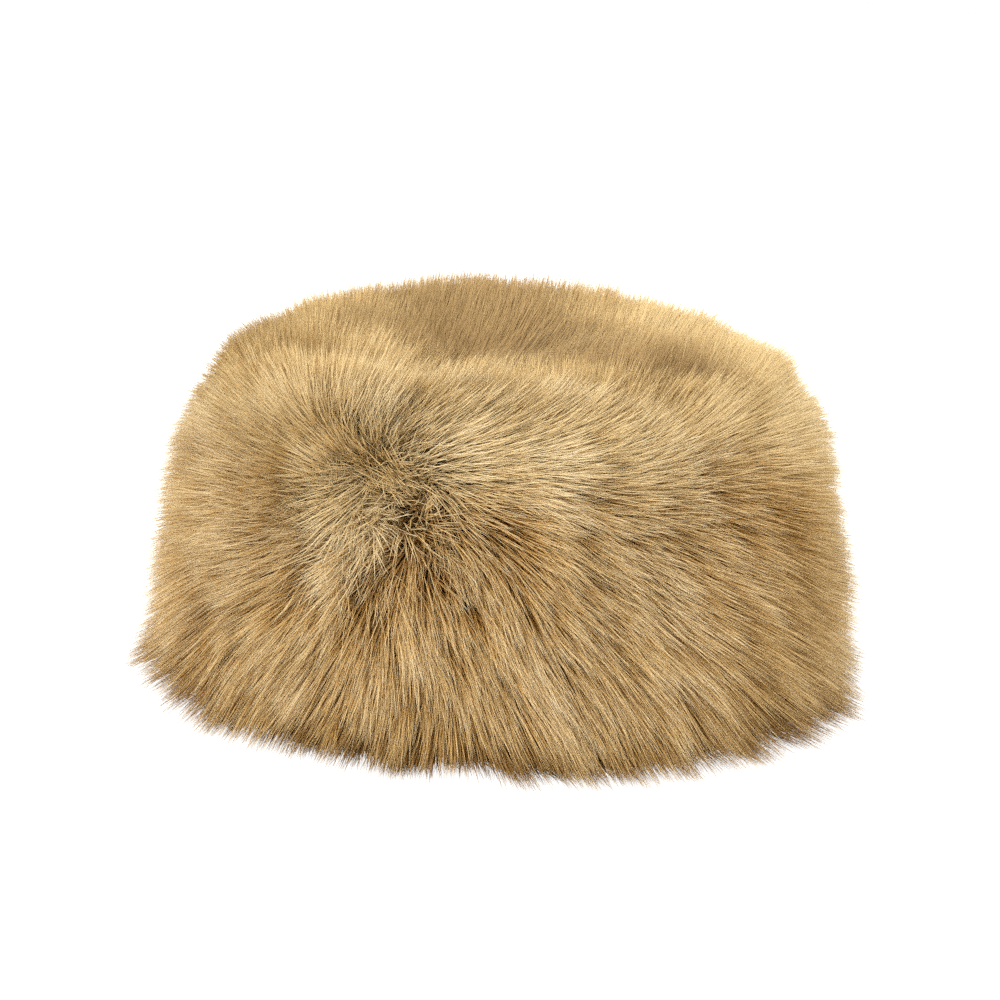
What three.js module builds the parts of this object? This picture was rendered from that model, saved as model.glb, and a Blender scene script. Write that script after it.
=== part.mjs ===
// Round hat of long-pile fur cloth: a side band and a dished crown top, open underneath for the head.
// Millimetres, +Z up, front towards -Y, origin on the floor below the middle of the head opening.
import * as THREE from "three";

// Head opening and cloth
const HEAD_WIDTH = 177;
const HEAD_LENGTH = 190;
const CLOTH = 2.5;

// Half axes of the oval that the pile grows from
const OVAL_X = HEAD_WIDTH / 2 + CLOTH;
const OVAL_Y = HEAD_LENGTH / 2 + CLOTH;

// The pile from the rim up the side, over the shoulder and in to the middle of the crown:
// share is the part of the oval that the roots stand on, rootZ their height,
// tipOut how far outside their roots the tips stand, and tipZ the height of the tips.
const SECTIONS = [
  { name: "rim", share: 1, rootZ: 0, tipOut: 25, tipZ: 0 },
  { name: "hem", share: 1, rootZ: 26, tipOut: 51.5, tipZ: 2 },
  { name: "low", share: 1, rootZ: 43, tipOut: 49.5, tipZ: 14 },
  { name: "middle", share: 1, rootZ: 61, tipOut: 47, tipZ: 42.5 },
  { name: "high", share: 1, rootZ: 83, tipOut: 42, tipZ: 75 },
  { name: "upper", share: 0.99, rootZ: 98, tipOut: 34.5, tipZ: 104 },
  { name: "shoulder", share: 0.95, rootZ: 105, tipOut: 20, tipZ: 128 },
  { name: "crown edge", share: 0.82, rootZ: 108, tipOut: 9.5, tipZ: 137 },
  { name: "crown crest", share: 0.56, rootZ: 107, tipOut: 4, tipZ: 139.5 },
  { name: "crown slope", share: 0.26, rootZ: 102, tipOut: 2, tipZ: 135 },
  { name: "crown middle", share: 0, rootZ: 99, tipOut: 0, tipZ: 130 },
];
const SEAM = SECTIONS.findIndex((section) => section.name === "shoulder");
const CROWN_MIDDLE = SECTIONS.length - 1;

// Half the gap at the seam, in sections
const SEAM_HALF_GAP = 0.016;

// The nap: the side's tips lean round the hat, and the crown's lean to one side and backwards;
// the sweep is how late along its length a lock leans
const SIDE_LEAN = THREE.MathUtils.degToRad(3.4);
const CROWN_LEAN_X = 14;
const CROWN_LEAN_Y = 14;
const SWEEP = 2.1;

// The crown's tips stand higher at the back than in the middle, and as much lower at the front
const CROWN_RISE = 24;

// A lock rises from the valleys around it, past a narrower middle, to one tip; depths are shares of the pile
const VALLEY_DEPTH = 0.68;
const VALLEY_VARIATION = 0.05;
const RIM_DEPTH = 0.4;
const LOCK_MIDDLE_DEPTH = 0.88;
const LOCK_MIDDLE_WIDTH = 0.6;
const TIP_DEPTH = 1;
const TIP_VARIATION = 0.045;
const TIP_SHIFT = 0.2;

// Rows of locks, each from one section number to the next; odd rows stand half a lock round,
// and the valleys between rows zigzag by a share of the rows beside them, so that each lock is six-sided
const VALLEY_ZIGZAG = 0.22;
const SIDE_ROW_EDGES = [0, 1.25, 2.25, 2.9, 3.5, 4.1, 4.7, 5.35, SEAM - SEAM_HALF_GAP];
const SIDE_LOCKS = 40;
const CROWN_ROWS = [
  { from: SEAM + SEAM_HALF_GAP, locks: 40 },
  { from: 6.85, locks: 20 },
  { from: 7.7, locks: 20 },
  { from: 8.55, locks: 10 },
  { from: 9.35, locks: 1 },
];

// Sections of the plain inner face of the cloth
const SIDE_INNER_SECTIONS = [0, 2, 4, 4.7, 5.35, SEAM - SEAM_HALF_GAP];
const CROWN_INNER_SECTIONS = [SEAM + SEAM_HALF_GAP, 6.5, 7, 8, 9];

const FUR_COLOUR = 0xb8976a;

const sectionNumbers = SECTIONS.map((section, number) => number);
const sectionValues = SECTIONS.flatMap(({ share, rootZ, tipOut, tipZ }) => [share, rootZ, tipOut, tipZ]);
const sectionCurve = new THREE.CubicInterpolant(sectionNumbers, sectionValues, 4);

function sectionAt(number) {
  const [share, rootZ, tipOut, tipZ] = sectionCurve.evaluate(number);
  return { share, rootZ, tipOut, tipZ };
}

// A point in the pile: turn counts round the hat from +X, depth runs from 0 at the cloth to 1 at the tips;
// the floor presses the lowest tips flat
function pilePoint(turn, number, depth) {
  const { share, rootZ, tipOut, tipZ } = sectionAt(number);
  const inside = 1 - share * share;
  const swept = depth ** SWEEP;
  const angle = turn * 2 * Math.PI + SIDE_LEAN * share * swept;
  const out = tipOut * depth;
  const rise = CROWN_RISE * inside * share * Math.sin(turn * 2 * Math.PI);
  return new THREE.Vector3(
    (OVAL_X * share + out) * Math.cos(angle) + CROWN_LEAN_X * inside * (swept - 1),
    (OVAL_Y * share + out) * Math.sin(angle) + CROWN_LEAN_Y * inside * (swept - 1),
    Math.max(THREE.MathUtils.lerp(rootZ, tipZ + rise, depth), 0),
  );
}

// A point on the inner face of the cloth, a cloth's thickness in from the roots
function innerPoint(turn, number) {
  const step = 0.01;
  const here = sectionAt(number);
  const below = sectionAt(Math.max(number - step, 0));
  const above = sectionAt(Math.min(number + step, CROWN_MIDDLE));
  const run = new THREE.Vector2((above.share - below.share) * OVAL_X, above.rootZ - below.rootZ).normalize();
  const angle = turn * 2 * Math.PI;
  return new THREE.Vector3(
    (OVAL_X * here.share - CLOTH * run.y) * Math.cos(angle),
    (OVAL_Y * here.share - CLOTH * run.y) * Math.sin(angle),
    here.rootZ + CLOTH * run.x,
  );
}

// A closed skin under construction
class Skin {
  points = [];
  triangles = [];

  add(point) {
    this.points.push(point);
    return this.points.length - 1;
  }

  ring(count, pointAt) {
    return Array.from({ length: count }, (_, k) => this.add(pointAt(k / count, k)));
  }

  quad(a, b, c, d) {
    this.triangles.push(a, b, c, a, c, d);
  }

  // The faces point outwards where the upper ring lies above the lower one on the outside
  strip(lower, upper) {
    lower.forEach((corner, k) => {
      const next = (k + 1) % lower.length;
      this.quad(corner, lower[next], upper[next], upper[k]);
    });
  }

  cap(ring, point) {
    const middle = this.add(point);
    ring.forEach((corner, k) => this.triangles.push(corner, ring[(k + 1) % ring.length], middle));
  }

  geometry() {
    const geometry = new THREE.BufferGeometry().setFromPoints(this.points);
    geometry.setIndex(this.triangles);
    geometry.computeVertexNormals();
    return geometry;
  }
}

// A repeatable spread of values from -1 to 1, so that the locks aren't all alike
function spread(row, k) {
  const value = Math.sin(row * 12.9898 + k * 78.233) * 43758.5453;
  return 2 * (value - Math.floor(value)) - 1;
}

// Corners between two rows of locks, enough for the finer of the two; the corner of the row below dips
// and that of the row above rises by the zigzag
function valley(skin, row, number, locks, { depth = VALLEY_DEPTH, variation = 0, zigzag = 0 }) {
  const count = 2 * locks;
  const heights = Array.from({ length: count }, (_, k) => number + ((k + row) % 2 === 0 ? zigzag : -zigzag));
  const depths = heights.map((height, k) => depth + variation * spread(row, k));
  const ids = skin.ring(count, (turn, k) => pilePoint(turn, heights[k], depths[k]));
  const corner = (k) => ({ id: ids[k % count], turn: k / count, number: heights[k % count] });
  const stretch = (from, to) => {
    const first = Math.round(from * count);
    const last = Math.round(to * count);
    return Array.from({ length: last - first + 1 }, (_, k) => corner(first + k));
  };
  return { number, ids, stretch };
}

// The valley between two whole rows, whose zigzag goes by the narrower of them
function innerValley(skin, row, edges, locks) {
  const narrower = Math.min(edges[row] - edges[row - 1], edges[row + 1] - edges[row]);
  return valley(skin, row, edges[row], locks, { variation: VALLEY_VARIATION, zigzag: VALLEY_ZIGZAG * narrower });
}

function lock(skin, corners, tip) {
  const { lerp } = THREE.MathUtils;
  const middles = corners.map(({ turn, number }) => {
    const middleTurn = lerp(tip.turn ?? turn, turn, LOCK_MIDDLE_WIDTH);
    const middleNumber = lerp(tip.number, number, LOCK_MIDDLE_WIDTH);
    return skin.add(pilePoint(middleTurn, middleNumber, LOCK_MIDDLE_DEPTH));
  });
  corners.forEach((corner, k) => {
    const next = (k + 1) % corners.length;
    skin.quad(corner.id, corners[next].id, middles[next], middles[k]);
  });
  skin.cap(middles, pilePoint(tip.turn ?? 0, tip.number, tip.depth));
}

function lockRow(skin, lower, upper, locks, row) {
  const start = row % 2 === 0 ? 0 : 0.5;
  for (let k = 0; k < locks; k += 1) {
    const from = (k + start) / locks;
    const to = (k + start + 1) / locks;
    const corners = [...lower.stretch(from, to), ...upper.stretch(from, to).reverse()];
    const across = 0.5 + TIP_SHIFT * spread(row, k + locks);
    const up = 0.5 + TIP_SHIFT * spread(row, k + 2 * locks);
    lock(skin, corners, {
      turn: THREE.MathUtils.lerp(from, to, across),
      number: THREE.MathUtils.lerp(lower.number, upper.number, up),
      depth: TIP_DEPTH + TIP_VARIATION * spread(row, k),
    });
  }
}

function innerRings(skin, numbers) {
  return numbers.map((number) => skin.ring(2 * SIDE_LOCKS, (turn) => innerPoint(turn, number)));
}

function sideBand() {
  const skin = new Skin();
  const lastRow = SIDE_ROW_EDGES.length - 1;
  const valleys = SIDE_ROW_EDGES.map((number, row) => {
    if (row === 0) {
      return valley(skin, row, number, SIDE_LOCKS, { depth: RIM_DEPTH });
    }
    if (row === lastRow) {
      return valley(skin, row, number, SIDE_LOCKS, {});
    }
    return innerValley(skin, row, SIDE_ROW_EDGES, SIDE_LOCKS);
  });
  for (let row = 0; row + 1 < valleys.length; row += 1) {
    lockRow(skin, valleys[row], valleys[row + 1], SIDE_LOCKS, row);
  }
  const inner = innerRings(skin, SIDE_INNER_SECTIONS);
  for (let k = 0; k + 1 < inner.length; k += 1) {
    skin.strip(inner[k + 1], inner[k]);
  }
  skin.strip(inner.at(0), valleys.at(0).ids);
  skin.strip(valleys.at(-1).ids, inner.at(-1));
  return skin.geometry();
}

function crownTop() {
  const skin = new Skin();
  const edges = [...CROWN_ROWS.map(({ from }) => from), CROWN_MIDDLE];
  const valleys = CROWN_ROWS.map(({ from, locks }, row) => {
    if (row === 0) {
      return valley(skin, row, from, locks, {});
    }
    return innerValley(skin, row, edges, CROWN_ROWS[row - 1].locks);
  });
  for (let row = 0; row + 1 < valleys.length; row += 1) {
    lockRow(skin, valleys[row], valleys[row + 1], CROWN_ROWS[row].locks, row);
  }
  const innermost = valleys.at(-1);
  lock(skin, innermost.stretch(0, 1).slice(0, -1), { number: CROWN_MIDDLE, depth: TIP_DEPTH });

  const inner = innerRings(skin, CROWN_INNER_SECTIONS);
  for (let k = 0; k + 1 < inner.length; k += 1) {
    skin.strip(inner[k + 1], inner[k]);
  }
  skin.cap(inner.at(-1).toReversed(), innerPoint(0, CROWN_MIDDLE));
  skin.strip(inner.at(0), valleys.at(0).ids);
  return skin.geometry();
}

function furPiece(name, geometry) {
  const material = new THREE.MeshStandardMaterial({ color: FUR_COLOUR, roughness: 0.9, metalness: 0 });
  const piece = new THREE.Mesh(geometry, material);
  piece.name = name;
  return piece;
}

const hat = new THREE.Group();
hat.name = "fur_hat";
hat.add(furPiece("side_band", sideBand()));
hat.add(furPiece("crown_top", crownTop()));

export default hat;
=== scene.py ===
"""Dresses a round fur hat: cloth shells, long pile in locks, and a plain studio with its camera."""

import math
from collections import namedtuple

import bpy
import numpy as np
from mathutils import Matrix, Vector


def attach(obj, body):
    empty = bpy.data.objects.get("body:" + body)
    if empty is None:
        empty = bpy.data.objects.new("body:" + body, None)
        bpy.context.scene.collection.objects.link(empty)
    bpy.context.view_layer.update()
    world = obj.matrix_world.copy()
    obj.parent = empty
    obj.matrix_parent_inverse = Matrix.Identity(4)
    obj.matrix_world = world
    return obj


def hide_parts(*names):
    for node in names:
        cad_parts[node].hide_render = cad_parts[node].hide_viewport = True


bl_info = {
    "name": "Fur Hat",
    "version": (1, 0, 0),
    "blender": (4, 5, 0),
    "location": "3D View > Sidebar > Fur Hat",
    "description": "Dresses a round hat in fur cloth with a long pile, and sets a plain studio",
    "category": "Object",
}

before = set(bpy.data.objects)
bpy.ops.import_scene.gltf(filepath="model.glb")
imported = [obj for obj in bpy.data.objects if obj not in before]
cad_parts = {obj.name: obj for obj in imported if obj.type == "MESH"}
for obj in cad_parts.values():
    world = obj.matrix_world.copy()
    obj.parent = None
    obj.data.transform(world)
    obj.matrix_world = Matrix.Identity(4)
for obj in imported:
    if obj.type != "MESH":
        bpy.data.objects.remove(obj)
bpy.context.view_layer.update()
BODY = "root"
PALETTE_MAP = "OFBake"

# The pile from the rim up the side, over the shoulder and in to the middle of the crown, in metres
Section = namedtuple("Section", "name share root_z tip_out tip_z")
SECTIONS = (
    Section("rim", 1.0, 0.0, 0.025, 0.0),
    Section("hem", 1.0, 0.026, 0.0515, 0.002),
    Section("low", 1.0, 0.043, 0.0495, 0.014),
    Section("middle", 1.0, 0.061, 0.047, 0.0425),
    Section("high", 1.0, 0.083, 0.042, 0.075),
    Section("upper", 0.99, 0.098, 0.0345, 0.104),
    Section("shoulder", 0.95, 0.105, 0.02, 0.128),
    Section("crown edge", 0.82, 0.108, 0.0095, 0.137),
    Section("crown crest", 0.56, 0.107, 0.004, 0.1395),
    Section("crown slope", 0.26, 0.102, 0.002, 0.135),
    Section("crown middle", 0.0, 0.099, 0.0, 0.13),
)
RIM = 0
SEAM = [section.name for section in SECTIONS].index("shoulder")
CROWN_MIDDLE = len(SECTIONS) - 1
SECTION_VALUES = np.array([section[1:] for section in SECTIONS])

# Sections that the cloth is modelled through, half the gap at the seam, and what stays bare of hairs
# in the middle of the crown, all in section numbers
SEAM_HALF_GAP = 0.02
CROWN_BARE = 0.02
SIDE_CLOTH_SECTIONS = (RIM, 1, 2, 3, 4, 4.5, 5, 5.4, 5.7, SEAM - SEAM_HALF_GAP)
CROWN_CLOTH_SECTIONS = (SEAM + SEAM_HALF_GAP, 6.25, 6.5, 7, 7.5, 8, 8.5, 9, 9.5, CROWN_MIDDLE)
CLOTH_CORNERS = 96

# How dark the blotches of the cloth are, as a share of its colour
BLOTCH_SHADE = 0.72

# Kinds of hair: share of a piece's hairs, steps along each, length as a share of the pile, width, and
# how much paler or darker it is than its lock
HairKind = namedtuple("HairKind", "name share steps shortest longest width tint")
HAIR_KINDS = (
    HairKind("underfur", 0.34, 1, 0.5, 0.86, 0.00045, -0.14),
    HairKind("pile", 0.48, 2, 0.84, 1.02, 0.0004, 0.0),
    HairKind("guard hair", 0.18, 2, 0.95, 1.08, 0.00038, 0.12),
)

# Width of a hair along it: place from root to tip, and share of the full width
TAPER = ((0, 0.75), (0.45, 1.0), (0.8, 0.62), (1, 0.0))

# Places where the pile is brushed another way: where the stroke lies and how far it reaches, how far it
# pushes the tips to the right, back and up, how far apart it parts them, how far it tousles them in tufts,
# and how much painted light it puts on the hairs by lifting their roots up the palette, or below 0 how much
# painted shade darkens their tint, as in partings, hollows and on the darker right side
Stroke = namedtuple("Stroke", "name turn section reach right back up apart tousle tint")
STROKES = (
    Stroke("front sweep", 0.728, 4.1, 0.045, 0.006, 0.0, -0.004, 0.0, 0.001, 0.06),
    Stroke("left of the parting", 0.649, 4.06, 0.04, -0.003, 0.0, 0.004, 0.0, 0.004, 0.4),
    Stroke("left edge of the parting", 0.681, 3.6, 0.022, -0.006, 0.0, 0.0, 0.0, 0.002, 0.05),
    Stroke("right edge of the parting", 0.713, 4.06, 0.02, 0.006, 0.0, 0.001, 0.0, 0.002, 0.25),
    Stroke("above the whorl", 0.669, 5.45, 0.03, 0.01, 0.0, 0.004, 0.0, 0.001, 0.45),
    Stroke("upper left fan", 0.64, 5.85, 0.02, 0.008, 0.0, 0.004, 0.0, 0.001, 0.0),
    Stroke("upper front", 0.745, 5.4, 0.035, 0.007, 0.0, 0.003, 0.0, 0.001, -0.04),
    Stroke("right shoulder", 0.825, 5.2, 0.04, 0.0, 0.0, 0.005, 0.0, 0.001, -0.22),
    Stroke("tousled front", 0.68, 3.85, 0.031, 0.0, 0.0, 0.0, 0.0, 0.011, 0.42),
    Stroke("whorl", 0.684, 4.6, 0.013, 0.0, 0.0, 0.0, 0.001, 0.004, 0.1),
    Stroke("whorl right", 0.71, 4.75, 0.014, 0.0, 0.0, 0.0, 0.001, 0.003, 0.3),
    Stroke("parting top", 0.692, 4.4, 0.014, 0.0, 0.0, 0.0, 0.001, 0.004, 0.1),
    Stroke("parting middle", 0.7, 4.05, 0.016, 0.0, 0.0, 0.0, 0.0015, 0.004, 0.1),
    Stroke("parting foot", 0.708, 3.45, 0.021, 0.0, 0.0, 0.0, 0.004, 0.004, -0.42),
    Stroke("left tuft", 0.657, 3.5, 0.014, 0.0, 0.0, 0.0, 0.004, 0.003, -0.25),
    Stroke("right tuft", 0.738, 4.18, 0.013, 0.0, 0.0, 0.0, 0.003, 0.003, -0.06),
    Stroke("right cowlick", 0.781, 4.56, 0.013, 0.0, 0.0, 0.0, 0.003, 0.003, -0.14),
    Stroke("left cowlick", 0.653, 5.25, 0.016, 0.0, 0.0, 0.0, 0.001, 0.003, 0.05),
    Stroke("far left cowlick", 0.619, 4.1, 0.013, 0.0, 0.0, 0.0, 0.003, 0.003, -0.16),
    Stroke("lower left", 0.645, 2.6, 0.04, 0.0, 0.0, 0.0, 0.0, 0.003, 0.12),
    Stroke("left side", 0.58, 3.8, 0.048, 0.001, 0.01, 0.012, 0.0, 0.004, 0.34),
    Stroke("left hem", 0.595, 1.8, 0.03, 0.003, -0.008, -0.006, 0.0, 0.0, 0.05),
    Stroke("right hem", 0.822, 1.7, 0.03, 0.0, -0.009, -0.004, 0.0, 0.0, 0.0),
    Stroke("upper left", 0.61, 5.9, 0.032, -0.005, 0.008, 0.004, 0.0, 0.0, -0.3),
    Stroke("right middle", 0.82, 3.9, 0.04, 0.0, 0.0, 0.0, 0.0, 0.0, 0.3),
    Stroke("right side", 0.9, 3.4, 0.045, 0.0, 0.0, 0.0, 0.0, 0.0, -0.36),
    Stroke("front ridge", 0.735, 5.85, 0.03, 0.003, 0.002, 0.004, 0.0, 0.0, 0.3),
    Stroke("crown cowlick", 0.907, 7.24, 0.014, 0.0, 0.0, 0.0, 0.004, 0.002, -0.14),
    Stroke("crown hollow", 0.5, 9.7, 0.034, -0.005, -0.004, 0.002, 0.008, 0.002, -0.36),
    Stroke("crown back", 0.25, 8.2, 0.06, 0.0, 0.0, 0.0, 0.0, 0.0, -0.5),
    Stroke("crown right", 0.88, 7.7, 0.05, -0.004, 0.002, 0.01, 0.0, 0.0, -0.46),
    Stroke("crown left", 0.5, 7.0, 0.05, -0.004, 0.0, 0.003, 0.0, 0.0, -0.32),
    Stroke("upper right", 0.82, 4.75, 0.035, 0.0, 0.0, 0.0, 0.0, 0.0, 0.42),
    Stroke("upper left side", 0.62, 4.9, 0.035, 0.0, 0.0, 0.0, 0.0, 0.0, 0.42),
    Stroke("lower right side", 0.87, 2.6, 0.035, 0.0, 0.0, 0.0, 0.0, 0.0, -0.15),
    Stroke("left ridge", 0.61, 7.0, 0.03, 0.0, 0.0, 0.0, 0.0, 0.0, -0.16),
    Stroke("back sweep", 0.28, 4.9, 0.045, -0.008, 0.0, 0.003, 0.0, 0.002, 0.05),
    Stroke("tousled back", 0.2, 4.2, 0.04, 0.0, 0.0, 0.0, 0.0, 0.006, 0.16),
    Stroke("tousled right", 0.02, 4.3, 0.04, 0.0, 0.0, 0.0, 0.0, 0.005, 0.1),
    Stroke("back left tuft", 0.389, 7.8, 0.014, 0.0, 0.0, 0.006, 0.0, 0.0, 0.05),
    Stroke("back right tuft", 0.189, 8.0, 0.014, 0.0, 0.0, 0.006, 0.0, 0.0, 0.05),
)

# Pieces of pile: name and the turn where each begins, counted from +X
SIDE_QUARTERS = (("right", -0.125), ("back", 0.125), ("left", 0.375), ("front", 0.625))
CROWN_HALVES = (("back", 0.0), ("front", 0.5))

# Sizes of the waves, ruffles, tufts and patches of colour in the pile, and seeds of the random draws
WAVE_SIZE = 0.055
RUFFLE_SIZE = 0.018
TUFT_SIZE = 0.02
PATCH_SIZE = 0.03
WAVE_SEED = 11
RUFFLE_SEED = 12
PATCH_SEED = 21
TUFT_SEED = 40
SIDE_SEED = 100
CROWN_SEED = 200

# Even scatter of the locks: steps across and along, and how far a lock strays from its place
PLASTIC_NUMBER = 1.324717957244746
SCATTER_STEPS = (1 / PLASTIC_NUMBER, 1 / PLASTIC_NUMBER**2)
SCATTER_JITTER = 0.4

# How waves in the pile vary in size, how far out a random lean may be, and how finely the fur is measured
WAVE_SPREAD = (0.6, 1.5)
LEAN_LIMIT = 2
AREA_SAMPLES = 400

# Where a lock's direction and the fur's slope are taken: the depth of its lower end, a step along the
# sections, and how near to the middle of the crown
LOCK_BASE = 0.2
SLOPE_STEP = 0.05
SLOPE_MARGIN = 0.001

# Softness towards the top: the section where it begins and over how many it grows, and how much of it
# calms single locks, lifts their roots up the palette as painted light, shortens them and darkens their tint
# as painted shade against the strong light on top
SOFT_FROM = 4.3
SOFT_OVER = 1.3
SOFT_CALM = 0.5
SOFT_PALE = 1.2
SOFT_SHORTER = 0.05
SOFT_PAINTED_SHADE = 0.12

# How locks differ: their lengths, their mean tint and its spread from patch to patch and lock to lock, how
# the gathering of hairs differs likewise, and the section below which painted shade darkens the hem
LOCK_LENGTHS = (0.92, 1.05)
MEAN_TINT = 0.64
PATCH_TINT = 0.06
LOCK_TINT = 0.08
PATCH_GATHER = 0.5
LOCK_GATHER = 0.2
HEM_TOP = 2.2

# Roots lifted up the palette as painted light: how far up they start at most, and how much of a stroke's
# painted light counts
MOST_PALE = 0.95
STROKE_PALE = 0.8

# How pushes act: the most that a tuft leans, the share of a push that lifts the tips, how late along a hair
# a push bends it and its lock narrows, how its steps are spaced, and how much of its own lift is lost
TUFT_LIMIT = 1.6
LIFT = 0.35
BRUSH_BEND = 1.7
GATHER_BEND = 2.5
STEP_BEND = 0.8
LIFT_LOST = 0.7

# How single hairs differ: how little they gather, how long and unruly strays are, how much more unruly hairs
# are where the pile is pale or tousled, how their least height varies, and their twist and width
LEAST_GATHER = 0.7
STRAY_LENGTHS = (1.0, 1.05)
STRAY_UNRULY = 1.7
PALE_UNRULY = 0.6
TOUSLED_UNRULY = 0.08
FLOOR_SCATTER = 0.004
HAIR_TWIST = 0.5
PALE_WIDTH = 0.4

# The palette: tints across it in columns, shades from root to tip up it, as stops with a place and a colour;
# a hair lies between the sides of its column, and short of the palette's ends
PALETTE_COLUMNS = 16
COLUMN_SIDES = (0.25, 0.75)
COLUMN_MIDDLE = 0.5
PALETTE_MARGIN = 0.01
TINT_STOPS = ((0.0, "deep"), (0.3, "golden"), (0.62, "camel"), (1.0, "cream"))
# The shades are partly the hairs' darker roots and partly painted shade deeper in the pile
SHADE_STOPS = ((0.0, "root"), (0.55, "under"), (0.8, "middle"), (0.95, "tip"))

# The studio: size of the floor, and place and colour of the two broad lights
FLOOR_SIZE = 60.0
LIGHT_SPREAD = math.radians(80)
KEY_PLACE = Vector((-0.9, -1.0, 0.5))
KEY_COLOUR = (1.0, 0.97, 0.92)
FILL_PLACE = Vector((0.5, -1.0, 0.5))
FILL_COLOUR = (0.95, 0.98, 1.0)

# The locks of one piece of pile, each field an array with a row for every lock
Lock = namedtuple("Lock", "turn number outward side up brushed tousled length gather tint pale")


def section_at(number):
    """Columns of the section table between its rows, along a smooth curve."""
    number = np.asarray(number, dtype=float)
    first = np.clip(np.floor(number).astype(int), 0, CROWN_MIDDLE - 1)
    along = (number - first)[..., None]
    padded = np.vstack(
        (
            2 * SECTION_VALUES[0] - SECTION_VALUES[1],
            SECTION_VALUES,
            2 * SECTION_VALUES[-1] - SECTION_VALUES[-2],
        )
    )
    before, here, there, after = (padded[first + k] for k in range(4))
    slope_here = (there - before) / 2
    slope_there = (after - here) / 2
    rest = there - here
    bend = 3 * rest - 2 * slope_here - slope_there
    twist = slope_here + slope_there - 2 * rest
    values = here + along * (slope_here + along * (bend + along * twist))
    return np.moveaxis(values, -1, 0)


def oval(scene):
    """Half axes of the oval that the pile grows from."""
    pattern = scene.hat_pattern
    return pattern.head_width / 2 + pattern.cloth, pattern.head_length / 2 + pattern.cloth


def pile_points(scene, turn, number, depth):
    """Points in the pile: depth runs from 0 at the cloth to 1 at the tips of the even pile."""
    pile = scene.hat_pile
    oval_x, oval_y = oval(scene)
    share, root_z, tip_out, tip_z = section_at(number)
    inside = 1 - share**2
    swept = depth**pile.sweep
    angle = turn * 2 * np.pi + pile.side_lean * share * swept
    out = tip_out * depth
    x = (oval_x * share + out) * np.cos(angle) + pile.crown_lean_x * inside * (swept - 1)
    y = (oval_y * share + out) * np.sin(angle) + pile.crown_lean_y * inside * (swept - 1)
    rise = pile.crown_rise * inside * share * np.sin(turn * 2 * np.pi)
    z = root_z + (tip_z + rise - root_z) * depth
    return np.stack((x, y, z), axis=-1)


def unit(vectors):
    """Vectors with a length of 1."""
    return vectors / np.maximum(np.linalg.norm(vectors, axis=-1, keepdims=True), 1e-9)


def ripple(points, wavelength, seed, waves=8):
    """A smooth random field of vectors, about one unit long, over points."""
    random = np.random.default_rng(seed)
    headings = unit(random.normal(size=(waves, 3)))
    numbers = headings * (2 * np.pi / wavelength) * random.uniform(*WAVE_SPREAD, size=(waves, 1))
    phases = random.uniform(0, 2 * np.pi, size=waves)
    strengths = random.normal(size=(waves, 3)) / math.sqrt(waves / 2)
    return np.sin(points @ numbers.T + phases) @ strengths


def scatter(random, shape):
    """Random values around 0, none of them far out."""
    return np.clip(random.normal(size=shape), -LEAN_LIMIT, LEAN_LIMIT)


def even_sections(scene, low, high, amounts):
    """Section numbers from low to high, spread so that the tips stand evenly over the fur's surface."""
    numbers = np.linspace(low, high, AREA_SAMPLES)
    quarter_turn = np.full_like(numbers, 0.25)
    back = pile_points(scene, quarter_turn, numbers, 1.0)
    side = pile_points(scene, np.zeros_like(numbers), numbers, 1.0)
    girth = np.abs(back[:, 1]) + np.abs(side[:, 0])
    step = np.linalg.norm(np.diff(back, axis=0), axis=1)
    area = np.concatenate(([0.0], np.cumsum(step * (girth[1:] + girth[:-1]))))
    return np.interp(amounts, area / area[-1], numbers)


def lock_seeds(scene, turns, sections, count, random):
    """Evenly scattered turns and section numbers for the locks of one piece."""
    order = np.arange(1, count + 1)
    across = (order * SCATTER_STEPS[0]) % 1.0
    along = (order * SCATTER_STEPS[1]) % 1.0
    jitter = random.uniform(-SCATTER_JITTER, SCATTER_JITTER, size=(2, count)) / math.sqrt(count)
    turn = turns[0] + (turns[1] - turns[0]) * np.clip(across + jitter[0], 0, 1)
    number = even_sections(scene, sections[0], sections[1], np.clip(along + jitter[1], 0, 1))
    return turn, number


def comb(scene, tips, outward, soft, random):
    """How far the tips of locks are brushed aside, how much painted light or shade the strokes put on them,
    and how tousled they are.
    """
    pile = scene.hat_pile
    brushed = pile.wave * ripple(tips, WAVE_SIZE, WAVE_SEED)
    brushed += pile.ruffle * ripple(tips, RUFFLE_SIZE, RUFFLE_SEED)
    brushed += pile.scatter * (1 - SOFT_CALM * soft[:, None]) * scatter(random, tips.shape)
    tint = np.zeros(len(tips))
    tousled = np.zeros(len(tips))
    for number, stroke in enumerate(STROKES):
        middle = pile_points(scene, np.array(stroke.turn), np.array(stroke.section), 1.0)
        away = (tips - middle) / stroke.reach
        weight = np.exp(-np.sum(away**2, axis=-1))
        push = np.array((stroke.right, stroke.back, stroke.up)) + 2 * stroke.apart * away
        tufts = ripple(tips, TUFT_SIZE, TUFT_SEED + number)
        push += stroke.tousle * np.clip(tufts, -TUFT_LIMIT, TUFT_LIMIT)
        brushed += push * weight[:, None]
        # painted light above 0, painted shade below 0
        tint += stroke.tint * weight
        tousled += stroke.tousle * weight
    flat = brushed - outward * np.sum(brushed * outward, axis=-1, keepdims=True)
    return flat + LIFT * (brushed - flat), tint, tousled


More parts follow.
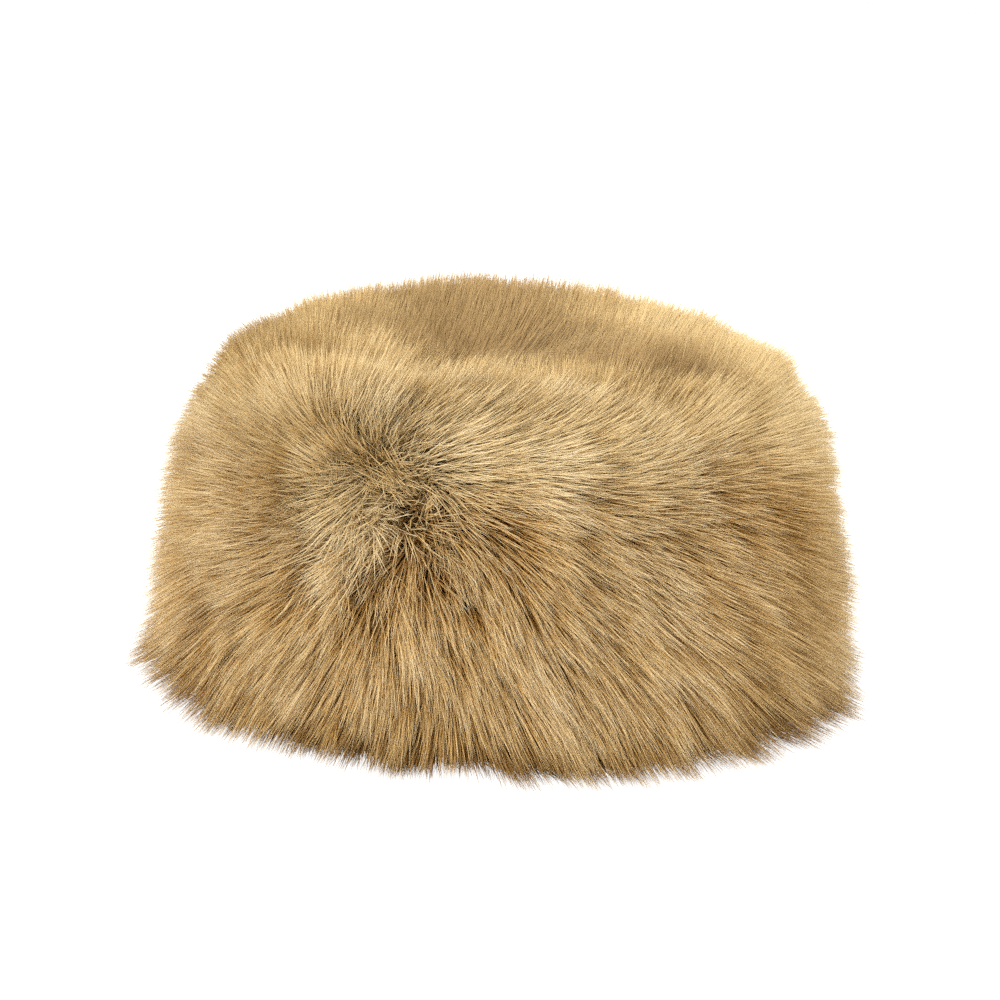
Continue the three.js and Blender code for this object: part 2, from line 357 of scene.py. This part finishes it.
def hair_curves(scene, lock, kind, count, random):
    """Centre lines of one kind of hair, as an array of hairs, steps and points, and each hair's lock."""
    pile = scene.hat_pile
    member = random.integers(0, len(lock.turn), size=count)
    length = lock.length[member] * random.uniform(kind.shortest, kind.longest, size=count)
    stray = random.random(count) < pile.stray_share
    length = np.where(stray, length * random.uniform(*STRAY_LENGTHS, size=count), length)
    steps = pile.root_depth + (1 - pile.root_depth) * np.linspace(0, 1, kind.steps + 1) ** STEP_BEND
    depth = steps[None, :] * length[:, None]
    turn = lock.turn[member][:, None]
    number = lock.number[member][:, None]
    points = pile_points(scene, turn, number, depth)

    radius = pile.lock_radius * np.sqrt(random.random(count))
    spin = random.uniform(0, 2 * np.pi, size=count)
    beside = lock.side[member] * np.cos(spin)[:, None] + lock.up[member] * np.sin(spin)[:, None]
    gather = lock.gather[member] * random.uniform(LEAST_GATHER, 1.0, size=count)
    width = radius[:, None] * (1 - gather[:, None] * steps[None, :] ** GATHER_BEND)
    points += beside[:, None, :] * width[..., None]

    swept = steps[None, :, None] ** BRUSH_BEND
    points += lock.brushed[member][:, None, :] * swept * length[:, None, None]
    own = scatter(random, (count, 3)) * np.where(stray, STRAY_UNRULY, 1.0)[:, None]
    outward = lock.outward[member]
    own -= LIFT_LOST * outward * np.sum(own * outward, axis=-1, keepdims=True)
    unruly = pile.unruly * (1 + PALE_UNRULY * lock.pale[member]) + TOUSLED_UNRULY * lock.tousled[member]
    own *= unruly[:, None]
    points += own[:, None, :] * swept
    floor = pile.floor_clearance + FLOOR_SCATTER * random.random(count) * (length - kind.shortest)
    points[..., 2] = np.maximum(points[..., 2], floor[:, None])
    return points, member


def make_locks(scene, turns, sections, count, random):
    """The locks of one piece: where they stand, how they lie, and how long, gathered and pale they are."""
    pile = scene.hat_pile
    turn, number = lock_seeds(scene, turns, sections, count, random)
    base = pile_points(scene, turn, number, np.full(count, LOCK_BASE))
    tips = pile_points(scene, turn, number, np.ones(count))
    along = unit(tips - base)
    around = np.stack((-np.sin(turn * 2 * np.pi), np.cos(turn * 2 * np.pi), np.zeros(count)), axis=-1)
    side = unit(around - along * np.sum(around * along, axis=-1, keepdims=True))
    up = np.cross(along, side)
    higher = np.minimum(number + SLOPE_STEP, CROWN_MIDDLE - SLOPE_MARGIN)
    lower = np.maximum(number - SLOPE_STEP, RIM)
    above = pile_points(scene, turn, higher, np.ones(count))
    below = pile_points(scene, turn, lower, np.ones(count))
    outward = unit(np.cross(around, above - below))
    soft = pile.top_softness * np.clip((number - SOFT_FROM) / SOFT_OVER, 0, 1)
    brushed, stroke_light_and_shade, tousled = comb(scene, tips, outward, soft, random)
    patches = ripple(tips, PATCH_SIZE, PATCH_SEED)
    # painted shade from the strokes darkens the tint; their painted light lifts the roots further down
    darker = np.minimum(stroke_light_and_shade, 0)
    tint = MEAN_TINT + darker + PATCH_TINT * patches[:, 0] + LOCK_TINT * random.normal(size=count)
    # painted shade where the hem curls under towards the floor
    tint -= pile.hem_shade * np.clip(HEM_TOP - number, 0, 1)
    # painted shade on the top, where the light falls most strongly
    tint -= SOFT_PAINTED_SHADE * soft
    least, most = pile.gather
    tight = np.clip(0.5 + PATCH_GATHER * patches[:, 1] + LOCK_GATHER * random.normal(size=count), 0, 1)
    gather = (least + (most - least) * tight) * (1 - soft)
    # painted light: roots lifted up the palette towards the top and where strokes brighten the pile
    pale = np.clip(SOFT_PALE * soft + STROKE_PALE * np.maximum(stroke_light_and_shade, 0), 0, MOST_PALE)
    length = random.uniform(*LOCK_LENGTHS, size=count) - SOFT_SHORTER * soft
    return Lock(turn, number, outward, side, up, brushed, tousled, length, gather, tint, pale)


def ribbon_sides(points, outward, twist, random):
    """Unit vectors across each hair, so that its flat side faces out of the fur, but for its twist."""
    along = unit(np.gradient(points, axis=1))
    facing = outward + twist[:, None] * random.normal(size=outward.shape)
    return unit(np.cross(along, facing[:, None, :]))


def taper(steps):
    """Width of a hair from root to tip, as a share of its full width."""
    along = np.linspace(0, 1, steps + 1)
    return np.interp(along, *zip(*TAPER))


def hair_arrays(points, across, kind, tint, pale, first):
    """Vertices, faces and palette places of one kind of hair.

    pale is how far up the palette each hair's root is, and first the number of the first vertex.
    """
    count = len(points)
    steps = kind.steps
    half = taper(steps)[None, :-1, None] * kind.width / 2 * (1 + PALE_WIDTH * pale[:, None, None])
    left = points[:, :-1] - across[:, :-1] * half
    right = points[:, :-1] + across[:, :-1] * half
    pairs = np.stack((left, right), axis=2).reshape(count, 2 * steps, 3)
    vertices = np.concatenate((pairs, points[:, -1:]), axis=1)

    column = np.clip(np.floor(tint * PALETTE_COLUMNS), 0, PALETTE_COLUMNS - 1)
    sides = np.tile(COLUMN_SIDES, steps)
    u = (column[:, None] + np.append(sides, COLUMN_MIDDLE)[None, :]) / PALETTE_COLUMNS
    levels = np.linspace(PALETTE_MARGIN, 1 - PALETTE_MARGIN, steps + 1)
    along = np.append(np.repeat(levels[:-1], 2), levels[-1])
    v = pale[:, None] + (1 - pale[:, None]) * along[None, :]
    places = np.stack((u, v), axis=-1)

    size = 2 * steps + 1
    base = first + size * np.arange(count)[:, None, None]
    quad = np.array([(2 * k, 2 * k + 1, 2 * k + 3, 2 * k + 2) for k in range(steps - 1)], dtype=int)
    tip = np.array([(2 * steps - 2, 2 * steps - 1, 2 * steps)])
    return (
        vertices.reshape(-1, 3),
        places.reshape(-1, 2),
        (base + quad).reshape(-1, 4),
        (base + tip).reshape(-1, 3),
    )


def hair_mesh(name, parts):
    """One mesh of all the hairs in parts, with the palette map."""
    vertices = np.concatenate([part[0] for part in parts])
    places = np.concatenate([part[1] for part in parts])
    quads = np.concatenate([part[2] for part in parts])
    tips = np.concatenate([part[3] for part in parts])
    corners = np.concatenate((quads.ravel(), tips.ravel())).astype(np.int32)
    starts = np.concatenate((np.arange(len(quads)) * 4, quads.size + np.arange(len(tips)) * 3))
    mesh = bpy.data.meshes.new(name)
    mesh.vertices.add(len(vertices))
    mesh.vertices.foreach_set("co", vertices.astype(np.float32).ravel())
    mesh.loops.add(len(corners))
    mesh.polygons.add(len(starts))
    mesh.polygons.foreach_set("loop_start", starts.astype(np.int32))
    mesh.polygons.foreach_set("vertices", corners)
    mesh.polygons.foreach_set("use_smooth", np.ones(len(starts), dtype=bool))
    layer = mesh.uv_layers.new(name=PALETTE_MAP)
    layer.data.foreach_set("uv", places[corners].astype(np.float32).ravel())
    mesh.update()
    return mesh


def grow_pile(scene, name, turns, sections, seed):
    """A piece of pile: hairs in locks over the given turns and sections."""
    pile = scene.hat_pile
    random = np.random.default_rng(seed)
    locks = make_locks(scene, turns, sections, pile.hairs // pile.hairs_in_lock, random)
    parts = []
    first = 0
    for kind in HAIR_KINDS:
        count = round(pile.hairs * kind.share)
        points, member = hair_curves(scene, locks, kind, count, random)
        vivid = 1 - locks.pale[member]
        across = ribbon_sides(points, locks.outward[member], HAIR_TWIST * vivid, random)
        tint = locks.tint[member] + vivid * (kind.tint + pile.tint_spread * random.normal(size=count))
        part = hair_arrays(points, across, kind, tint, locks.pale[member], first)
        parts.append(part)
        first += len(part[0])
    piece = bpy.data.objects.new(name, hair_mesh(name, parts))
    scene.collection.objects.link(piece)
    piece.data.materials.append(fur_material(scene))
    return piece


def settle(piece, node):
    """Makes a piece stand for a node of the frame."""
    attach(piece, BODY)
    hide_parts(node)


def new_material(name):
    """The material of this name and its nodes, or no nodes if it was there before."""
    material = bpy.data.materials.get(name)
    if material:
        return material, None
    material = bpy.data.materials.new(name)
    material.use_nodes = True
    return material, material.node_tree


def ramp(tree, stops):
    """A colour ramp with the given stops, each a place and a colour."""
    node = tree.nodes.new("ShaderNodeValToRGB")
    elements = node.color_ramp.elements
    while len(elements) < len(stops):
        elements.new(0.5)
    for element, (place, colour) in zip(elements, stops):
        element.position = place
        element.color = (*colour, 1.0)
    return node


def fur_material(scene):
    """Hair colour from the palette map: across it the hairs' tints, up it the way from root to tip, darker
    at the root partly by colour and partly as painted shade.
    """
    material, tree = new_material("camel_fur")
    if tree is None:
        return material
    colours = scene.hat_colours
    shader = tree.nodes["Principled BSDF"]
    shader.inputs["Roughness"].default_value = 0.55
    shader.inputs["Specular IOR Level"].default_value = 0.2
    palette = tree.nodes.new("ShaderNodeUVMap")
    palette.uv_map = PALETTE_MAP
    parts = tree.nodes.new("ShaderNodeSeparateXYZ")
    tints = ramp(tree, [(place, getattr(colours, name)[:]) for place, name in TINT_STOPS])
    shade = ramp(tree, [(place, getattr(colours, name)[:]) for place, name in SHADE_STOPS])
    mix = tree.nodes.new("ShaderNodeMix")
    mix.data_type = "RGBA"
    mix.blend_type = "MULTIPLY"
    mix.inputs["Factor"].default_value = 1.0
    links = tree.links
    links.new(palette.outputs["UV"], parts.inputs["Vector"])
    links.new(parts.outputs["X"], tints.inputs["Fac"])
    links.new(parts.outputs["Y"], shade.inputs["Fac"])
    links.new(tints.outputs["Color"], mix.inputs["A"])
    links.new(shade.outputs["Color"], mix.inputs["B"])
    links.new(mix.outputs["Result"], shader.inputs["Base Color"])
    return material


def cloth_material(name, colour):
    """Knitted back of the fur cloth: fine ribs of loops, with a little colour variation."""
    material, tree = new_material(name)
    if tree is None:
        return material
    shader = tree.nodes["Principled BSDF"]
    shader.inputs["Roughness"].default_value = 0.9
    shader.inputs["Specular IOR Level"].default_value = 0.15
    place = tree.nodes.new("ShaderNodeTexCoord")
    ribs = tree.nodes.new("ShaderNodeTexVoronoi")
    ribs.inputs["Scale"].default_value = 700.0
    blotches = tree.nodes.new("ShaderNodeTexNoise")
    blotches.inputs["Scale"].default_value = 60.0
    blotches.inputs["Detail"].default_value = 4.0
    darker = tuple(BLOTCH_SHADE * value for value in colour)
    colours = ramp(tree, ((0.3, darker), (0.7, colour)))
    bump = tree.nodes.new("ShaderNodeBump")
    bump.inputs["Strength"].default_value = 0.35
    bump.inputs["Distance"].default_value = 0.0006
    links = tree.links
    links.new(place.outputs["Object"], ribs.inputs["Vector"])
    links.new(place.outputs["Object"], blotches.inputs["Vector"])
    links.new(blotches.outputs["Fac"], colours.inputs["Fac"])
    links.new(colours.outputs["Color"], shader.inputs["Base Color"])
    links.new(ribs.outputs["Distance"], bump.inputs["Height"])
    links.new(bump.outputs["Normal"], shader.inputs["Normal"])
    return material


def cloth_shell(scene, name, numbers):
    """A shell of fur cloth through the given sections, modelled ring by ring from an oval."""
    oval_x, oval_y = oval(scene)
    share, root_z = section_at(np.array(numbers, dtype=float))[:2]
    bpy.ops.object.select_all(action="DESELECT")
    bpy.ops.mesh.primitive_circle_add(vertices=CLOTH_CORNERS, radius=1.0, location=(0, 0, 0))
    shell = bpy.context.object
    shell.name = name
    shell.data.name = name
    bpy.ops.object.mode_set(mode="EDIT")
    bpy.ops.mesh.select_all(action="SELECT")
    bpy.ops.transform.resize(value=(oval_x * share[0], oval_y * share[0], 1.0))
    bpy.ops.transform.translate(value=(0, 0, root_z[0]))
    for here in range(1, len(numbers)):
        before = here - 1
        bpy.ops.mesh.extrude_edges_move()
        bpy.ops.transform.translate(value=(0, 0, root_z[here] - root_z[before]))
        if share[here] > 0:
            narrowing = share[here] / share[before]
            bpy.ops.transform.resize(value=(narrowing, narrowing, 1.0))
        else:
            bpy.ops.mesh.merge(type="CENTER")
    bpy.ops.mesh.select_all(action="SELECT")
    bpy.ops.mesh.normals_make_consistent(inside=False)
    bpy.ops.object.mode_set(mode="OBJECT")
    thickness = shell.modifiers.new("cloth", "SOLIDIFY")
    thickness.thickness = scene.hat_pattern.cloth
    thickness.offset = -1.0
    thickness.material_offset = 1
    bpy.ops.object.modifier_apply(modifier=thickness.name)
    bpy.ops.object.shade_smooth()
    colours = scene.hat_colours
    shell.data.materials.append(cloth_material("pile_ground", colours.ground[:]))
    shell.data.materials.append(cloth_material("cloth_inside", colours.inside[:]))
    return shell


def length_prop(name, description, default):
    """A setting in metres."""
    return bpy.props.FloatProperty(
        name=name, description=description, default=default, unit="LENGTH", precision=4
    )


def number_prop(name, description, default, **kind):
    """A setting without a unit, or an angle."""
    return bpy.props.FloatProperty(name=name, description=description, default=default, **kind)


def count_prop(name, description, default):
    """A setting that counts."""
    return bpy.props.IntProperty(name=name, description=description, default=default)


def colour_prop(name, description, default):
    """A colour in linear light."""
    return bpy.props.FloatVectorProperty(
        name=name, description=description, default=default, subtype="COLOR", min=0.0, max=1.0
    )


class HatPattern(bpy.types.PropertyGroup):
    """Sizes of the cloth that the hat is sewn from."""

    head_width: length_prop("Head width", "Opening across, inside the cloth", 0.177)
    head_length: length_prop("Head length", "Opening front to back, inside the cloth", 0.190)
    cloth: length_prop("Cloth", "Thickness of the cloth under the pile", 0.0025)


class HatPile(bpy.types.PropertyGroup):
    """How the pile grows and lies."""

    hairs: count_prop("Hairs", "Hairs in each piece of pile", 63000)
    hairs_in_lock: count_prop("Hairs in a lock", "Hairs that gather", 12)
    side_lean: number_prop(
        "Side lean", "How far round the hat the side's tips lean", math.radians(3.4), subtype="ANGLE"
    )
    crown_lean_x: length_prop("Crown lean across", "How far the crown's tips lean to +X", 0.014)
    crown_lean_y: length_prop("Crown lean back", "How far the crown's tips lean to +Y", 0.014)
    crown_rise: length_prop("Crown rise", "How much higher the crown's tips stand at the back", 0.024)
    sweep: number_prop("Sweep", "How late along a hair it leans", 2.1)
    root_depth: number_prop("Root depth", "Where hairs start", 0.06)
    lock_radius: length_prop("Lock radius", "Radius of a lock at its roots", 0.003)
    gather: bpy.props.FloatVectorProperty(
        name="Gather",
        description="Least and most that a lock narrows to its tip",
        size=2,
        default=(0.3, 0.95),
    )
    wave: length_prop("Wave", "How far broad waves brush the tips aside", 0.003)
    ruffle: length_prop("Ruffle", "How far short ruffles brush the tips aside", 0.0018)
    scatter: length_prop("Scatter", "How far single locks lean aside", 0.0021)
    unruly: length_prop("Unruly", "How far single hairs leave their lock", 0.0022)
    tint_spread: number_prop("Tint spread", "How much the tints of a lock's hairs differ", 0.17)
    top_softness: number_prop("Top softness", "How much more even the pile is on top", 0.8)
    # painted shade at the hem
    hem_shade: number_prop("Hem shade", "How much darker the pile is at the floor", 0.75)
    stray_share: number_prop("Strays", "Share of stray hairs", 0.015)
    floor_clearance: length_prop("Floor clearance", "Least height of a hair", 0.0005)


class HatColours(bpy.types.PropertyGroup):
    """Colours of the hair, from root to tip and from hair to hair, and of the cloth."""

    # Root to tip: partly the hairs' darker roots, partly painted shade deeper in the pile
    root: colour_prop("Root", "Shade of a hair at its root", (0.38, 0.18, 0.04))
    under: colour_prop("Under", "Shade of a hair half way up", (0.56, 0.35, 0.12))
    middle: colour_prop("Middle", "Shade of a hair below its tip", (0.82, 0.69, 0.48))
    tip: colour_prop("Tip", "Shade of a hair at its tip", (1.0, 1.0, 1.0))
    deep: colour_prop("Deep", "Tint of the darkest hairs", (0.34, 0.21, 0.08))
    golden: colour_prop("Golden", "Tint of the golden hairs", (0.66, 0.47, 0.21))
    camel: colour_prop("Camel", "Tint of most hairs", (0.80, 0.63, 0.35))
    cream: colour_prop("Cream", "Tint of the palest hairs", (0.88, 0.78, 0.57))
    ground: colour_prop("Ground", "Cloth between the roots", (0.12, 0.055, 0.016))
    inside: colour_prop("Inside", "Knitted back of the cloth", (0.34, 0.25, 0.16))


class HatStage(bpy.types.PropertyGroup):
    """The studio and the camera."""

    lens: number_prop("Lens", "Focal length in millimetres", 85.0)
    elevation: number_prop("Elevation", "Camera above the hat", math.radians(12.5), subtype="ANGLE")
    roll: number_prop("Roll", "Camera turned about its view", math.radians(2.3), subtype="ANGLE")
    distance: length_prop("Distance", "Camera from its aim", 0.916)
    aim_x: length_prop("Aim across", "Aim to the right of the middle of the hat", -0.0017)
    aim_z: length_prop("Aim up", "Aim above the floor", 0.0678)
    floor: colour_prop("Floor", "Colour of the floor", (0.45, 0.45, 0.45))
    glow: number_prop("Glow", "How brightly the floor glows", 1.0)
    sky: number_prop("Sky", "Strength of the light from all around", 1.08)
    key: number_prop("Key", "Strength of the main light", 2.95)
    fill: number_prop("Fill", "Strength of the light on the right", 0.9)


class HAT_OT_sew_side_band(bpy.types.Operator):
    """Sew the upright ring of fur cloth"""

    bl_idname = "hat.sew_side_band"
    bl_label = "Sew Side Band"

    def execute(self, context):
        settle(cloth_shell(context.scene, "side_band_cloth", SIDE_CLOTH_SECTIONS), "side_band")
        return {"FINISHED"}


class HAT_OT_sew_crown_top(bpy.types.Operator):
    """Sew the dished crown of fur cloth"""

    bl_idname = "hat.sew_crown_top"
    bl_label = "Sew Crown Top"

    def execute(self, context):
        settle(cloth_shell(context.scene, "crown_top_cloth", CROWN_CLOTH_SECTIONS), "crown_top")
        return {"FINISHED"}


class HAT_OT_grow_side_pile(bpy.types.Operator):
    """Grow the long pile of the side band, a quarter at a time"""

    bl_idname = "hat.grow_side_pile"
    bl_label = "Grow Side Pile"

    def execute(self, context):
        sections = (RIM, SEAM)
        for number, (name, start) in enumerate(SIDE_QUARTERS):
            turns = (start, start + 1 / len(SIDE_QUARTERS))
            seed = SIDE_SEED + number
            piece = grow_pile(context.scene, f"side_band_pile_{name}", turns, sections, seed)
            settle(piece, "side_band")
        return {"FINISHED"}


class HAT_OT_grow_crown_pile(bpy.types.Operator):
    """Grow the long pile of the crown, a half at a time"""

    bl_idname = "hat.grow_crown_pile"
    bl_label = "Grow Crown Pile"

    def execute(self, context):
        sections = (SEAM, CROWN_MIDDLE - CROWN_BARE)
        for number, (name, start) in enumerate(CROWN_HALVES):
            turns = (start, start + 1 / len(CROWN_HALVES))
            seed = CROWN_SEED + number
            piece = grow_pile(context.scene, f"crown_top_pile_{name}", turns, sections, seed)
            settle(piece, "crown_top")
        return {"FINISHED"}


def floor_material(colour, glow):
    """Pale paper that glows to the camera, as on a light table, so that it shows only faint shadows."""
    material, tree = new_material("studio_floor")
    if tree is None:
        return material
    shader = tree.nodes["Principled BSDF"]
    shader.inputs["Base Color"].default_value = (*colour, 1.0)
    shader.inputs["Roughness"].default_value = 0.8
    shader.inputs["Emission Color"].default_value = (1, 1, 1, 1)
    ray = tree.nodes.new("ShaderNodeLightPath")
    amount = tree.nodes.new("ShaderNodeMath")
    amount.operation = "MULTIPLY"
    amount.inputs[1].default_value = glow
    tree.links.new(ray.outputs["Is Camera Ray"], amount.inputs[0])
    tree.links.new(amount.outputs["Value"], shader.inputs["Emission Strength"])
    return material


def soft_light(name, place, strength, colour):
    """A broad, even light that falls alike on the whole floor."""
    data = bpy.data.lights.new(name, "SUN")
    data.angle = LIGHT_SPREAD
    data.energy = strength
    data.color = colour
    light = bpy.data.objects.new(name, data)
    light.location = place
    light.rotation_euler = (-place).to_track_quat("-Z", "Y").to_euler()
    bpy.context.scene.collection.objects.link(light)


def studio_world(strength):
    """An even sky that the camera sees as plain white, however strongly it lights the hat."""
    world = bpy.data.worlds.new("studio")
    world.use_nodes = True
    tree = world.node_tree
    sky = tree.nodes["Background"]
    sky.inputs["Color"].default_value = (1, 1, 1, 1)
    sky.inputs["Strength"].default_value = strength
    paper = tree.nodes.new("ShaderNodeBackground")
    paper.inputs["Color"].default_value = (1, 1, 1, 1)
    ray = tree.nodes.new("ShaderNodeLightPath")
    mix = tree.nodes.new("ShaderNodeMixShader")
    tree.links.new(ray.outputs["Is Camera Ray"], mix.inputs["Fac"])
    tree.links.new(sky.outputs["Background"], mix.inputs[1])
    tree.links.new(paper.outputs["Background"], mix.inputs[2])
    tree.links.new(mix.outputs["Shader"], tree.nodes["World Output"].inputs["Surface"])
    return world


class HAT_OT_set_stage(bpy.types.Operator):
    """Set the floor, the lights and the camera"""

    bl_idname = "hat.set_stage"
    bl_label = "Set Stage"

    def execute(self, context):
        scene = context.scene
        settings = scene.hat_stage
        bpy.ops.object.select_all(action="DESELECT")
        bpy.ops.mesh.primitive_plane_add(size=FLOOR_SIZE, location=(0, 0, 0))
        floor = context.object
        floor.name = "studio_floor"
        floor.data.materials.append(floor_material(settings.floor[:], settings.glow))

        scene.world = studio_world(settings.sky)
        soft_light("key", KEY_PLACE, settings.key, KEY_COLOUR)
        soft_light("fill", FILL_PLACE, settings.fill, FILL_COLOUR)
        scene.cycles.use_denoising = False
        scene.cycles.diffuse_bounces = 3

        scene.view_settings.view_transform = "Standard"
        scene.view_settings.look = "None"

        data = bpy.data.cameras.new("photo_camera")
        data.lens = settings.lens
        camera = bpy.data.objects.new("photo_camera", data)
        back = Vector((0, -math.cos(settings.elevation), math.sin(settings.elevation)))
        aim = Vector((settings.aim_x, 0, settings.aim_z))
        turn = (-back).to_track_quat("-Z", "Y").to_matrix().to_4x4()
        roll = Matrix.Rotation(settings.roll, 4, "Z")
        camera.matrix_world = Matrix.Translation(aim + back * settings.distance) @ turn @ roll
        scene.collection.objects.link(camera)
        scene.camera = camera
        return {"FINISHED"}


class HAT_PT_panel(bpy.types.Panel):
    """Lists the steps that dress the hat"""

    bl_idname = "HAT_PT_panel"
    bl_label = "Fur Hat"
    bl_space_type = "VIEW_3D"
    bl_region_type = "UI"
    bl_category = "Fur Hat"

    def draw(self, context):
        scene = context.scene
        for settings in (scene.hat_pattern, scene.hat_pile, scene.hat_colours, scene.hat_stage):
            box = self.layout.box()
            for name in settings.__annotations__:
                box.prop(settings, name)
        for step in STEPS:
            self.layout.operator(step.bl_idname)


GROUPS = {"hat_pattern": HatPattern, "hat_pile": HatPile, "hat_colours": HatColours, "hat_stage": HatStage}
STEPS = (
    HAT_OT_sew_side_band,
    HAT_OT_sew_crown_top,
    HAT_OT_grow_side_pile,
    HAT_OT_grow_crown_pile,
    HAT_OT_set_stage,
)


def register():
    """Adds the settings, the steps and the panel."""
    for cls in (*GROUPS.values(), *STEPS, HAT_PT_panel):
        bpy.utils.register_class(cls)
    for name, group in GROUPS.items():
        setattr(bpy.types.Scene, name, bpy.props.PointerProperty(type=group))


def unregister():
    """Takes the settings, the steps and the panel away."""
    for name in GROUPS:
        delattr(bpy.types.Scene, name)
    for cls in (HAT_PT_panel, *reversed(STEPS), *GROUPS.values()):
        bpy.utils.unregister_class(cls)


def main():
    """Dresses the hat."""
    register()
    bpy.ops.hat.set_stage()
    bpy.ops.hat.sew_side_band()
    bpy.ops.hat.sew_crown_top()
    bpy.ops.hat.grow_side_pile()
    bpy.ops.hat.grow_crown_pile()


if __name__ == "__main__":
    main()
